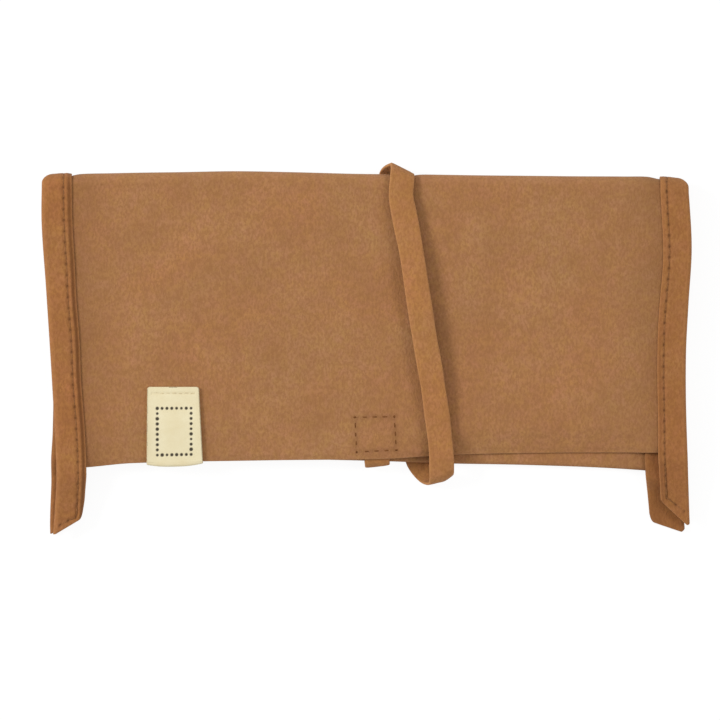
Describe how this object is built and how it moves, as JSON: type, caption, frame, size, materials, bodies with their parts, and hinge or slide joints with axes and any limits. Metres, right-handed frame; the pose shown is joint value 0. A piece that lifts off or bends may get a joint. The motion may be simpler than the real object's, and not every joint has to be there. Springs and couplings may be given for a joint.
{
  "type": "leather wrap wallet",
  "caption": "Long folded suede wallet with bound sides ending in ears, a cream tag on the flap's edge and a flat lace wound round it.",
  "frame": {"origin": "middle of the closed wallet's outline, on the surface that its back lies on", "axes": "+X along the wallet's width, +Y from the ears up to the fold, +Z out of the flap"},
  "size_m": [0.2058, 0.1186, 0.0129],
  "materials": {
    "suede": "napped suede, matt, mid brown with faint clouding",
    "suede_binding": "napped suede, matt, mid brown",
    "suede_lace": "napped suede, matt, mid brown",
    "inner_leather": "flesh side of suede, matt",
    "cream_leather": "smooth undyed leather, satin",
    "thread": "brown sewing thread"
  },
  "bodies": {
    "root": {"outer_sheet": "suede", "left_binding": "suede_binding", "right_binding": "suede_binding", "wrap_strap": "suede_lace", "label": "cream_leather", "strap_patch": "inner_leather", "card_pocket_left": "inner_leather", "card_pocket_right": "inner_leather"}
  },
  "joints": []
}
